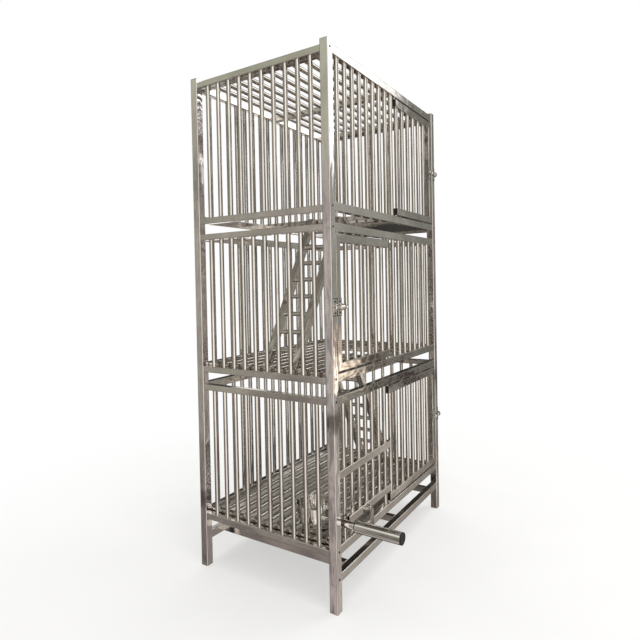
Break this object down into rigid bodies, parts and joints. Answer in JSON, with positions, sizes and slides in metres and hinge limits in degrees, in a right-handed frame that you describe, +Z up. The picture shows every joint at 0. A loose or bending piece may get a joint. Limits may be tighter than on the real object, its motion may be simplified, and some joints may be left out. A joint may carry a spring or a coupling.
{
  "type": "kennel cage",
  "caption": "Tall stacked kennel cage of polished steel tube and bars, with hinged barred doors, slide bolts, barred floors, inner ladders and a sliding feeding bowl.",
  "frame": {"origin": "on the floor, at the centre of the footprint, feeder handle included", "axes": "+Z up, +X to the right along the front, +Y from the front to the back"},
  "size_m": [0.93, 0.79, 1.8],
  "materials": {
    "black_plastic": "black moulded plastic",
    "door_steel": "polished stainless steel tube and bar",
    "feeder_steel": "polished spun stainless steel",
    "fitting_steel": "polished cast stainless steel",
    "floor_steel": "polished stainless steel tube and bar",
    "grille_steel": "polished stainless steel tube and bar",
    "ladder_steel": "polished stainless steel tube and bar",
    "post_steel": "mirror polished stainless steel tube",
    "screw_steel": "dark screw heads",
    "sheet_steel": "polished stainless steel sheet"
  },
  "bodies": {
    "frame": {"back_grille_bottom": "grille_steel", "back_grille_middle": "grille_steel", "back_grille_top": "grille_steel", "base_frame": "floor_steel", "feed_rails": "grille_steel", "floor_grid_bottom": "floor_steel", "floor_grid_middle": "floor_steel", "floor_grid_top": "floor_steel", "floor_pan_bottom": "sheet_steel", "floor_pan_middle": "sheet_steel", "floor_pan_top": "sheet_steel", "foot_caps": "post_steel", "front_bars_bottom": "grille_steel", "front_bars_middle": "grille_steel", "front_bars_top": "grille_steel", "front_rails_bottom": "grille_steel", "front_rails_middle": "grille_steel", "front_rails_top": "grille_steel", "hinge_pins": "fitting_steel", "hook_pin": "fitting_steel", "latch_keepers": "fitting_steel", "left_grille_bottom": "grille_steel", "left_grille_middle": "grille_steel", "left_grille_top": "grille_steel", "lower_ladder": "ladder_steel", "panel_screws": "screw_steel", "post_back_left_bottom": "post_steel", "post_back_left_middle": "post_steel", "post_back_left_top": "post_steel", "post_back_right_bottom": "post_steel", "post_back_right_middle": "post_steel", "post_back_right_top": "post_steel", "post_caps": "post_steel", "post_front_left_bottom": "post_steel", "post_front_left_middle": "post_steel", "post_front_left_top": "post_steel", "post_front_right_bottom": "post_steel", "post_front_right_middle": "post_steel", "post_front_right_top": "post_steel", "post_sleeves": "post_steel", "right_grille_bottom": "grille_steel", "right_grille_middle": "grille_steel", "right_grille_top": "grille_steel", "roof_grid": "floor_steel", "upper_ladder": "ladder_steel"},
    "door_leaf_bottom": {"door_bottom": "door_steel", "latch_case_bottom": "fitting_steel"},
    "bolt_bottom": {"latch_bolt_bottom": "fitting_steel"},
    "door_leaf_middle": {"door_middle": "door_steel", "latch_case_middle": "fitting_steel"},
    "bolt_middle": {"latch_bolt_middle": "fitting_steel"},
    "door_leaf_top": {"door_top": "door_steel", "latch_case_top": "fitting_steel"},
    "bolt_top": {"latch_bolt_top": "fitting_steel"},
    "hook": {"feed_hook": "fitting_steel"},
    "feeder": {"feed_bowl": "feeder_steel", "handle_neck": "feeder_steel", "handle_ring": "black_plastic", "handle_tube": "feeder_steel", "handle_plug": "black_plastic"}
  },
  "joints": [
    {"name": "door_bottom_hinge", "type": "hinge", "parent": "frame", "child": "door_leaf_bottom", "pos_m": [-0.049, -0.181, 0.4], "axis": [0, 0, -1], "range_deg": [0, 100]},
    {"name": "door_middle_hinge", "type": "hinge", "parent": "frame", "child": "door_leaf_middle", "pos_m": [-0.0525, -0.181, 0.95], "axis": [0, 0, 1], "range_deg": [0, 120]},
    {"name": "door_top_hinge", "type": "hinge", "parent": "frame", "child": "door_leaf_top", "pos_m": [0.058, -0.181, 1.5], "axis": [0, 0, -1], "range_deg": [0, 120]},
    {"name": "bolt_bottom_slide", "type": "slide", "parent": "door_leaf_bottom", "child": "bolt_bottom", "axis": [1, 0, 0], "range_m": [0, 0.012]},
    {"name": "bolt_middle_slide", "type": "slide", "parent": "door_leaf_middle", "child": "bolt_middle", "axis": [-1, 0, 0], "range_m": [0, 0.012]},
    {"name": "bolt_top_slide", "type": "slide", "parent": "door_leaf_top", "child": "bolt_top", "axis": [1, 0, 0], "range_m": [0, 0.012]},
    {"name": "feed_hook_hinge", "type": "hinge", "parent": "frame", "child": "hook", "pos_m": [-0.245, -0.2, 0.262], "axis": [-1, 0, 0], "range_deg": [0, 100]},
    {"name": "feeder_slide", "type": "slide", "parent": "frame", "child": "feeder", "axis": [0, 1, 0], "range_m": [-0.036, 0.036]}
  ]
}
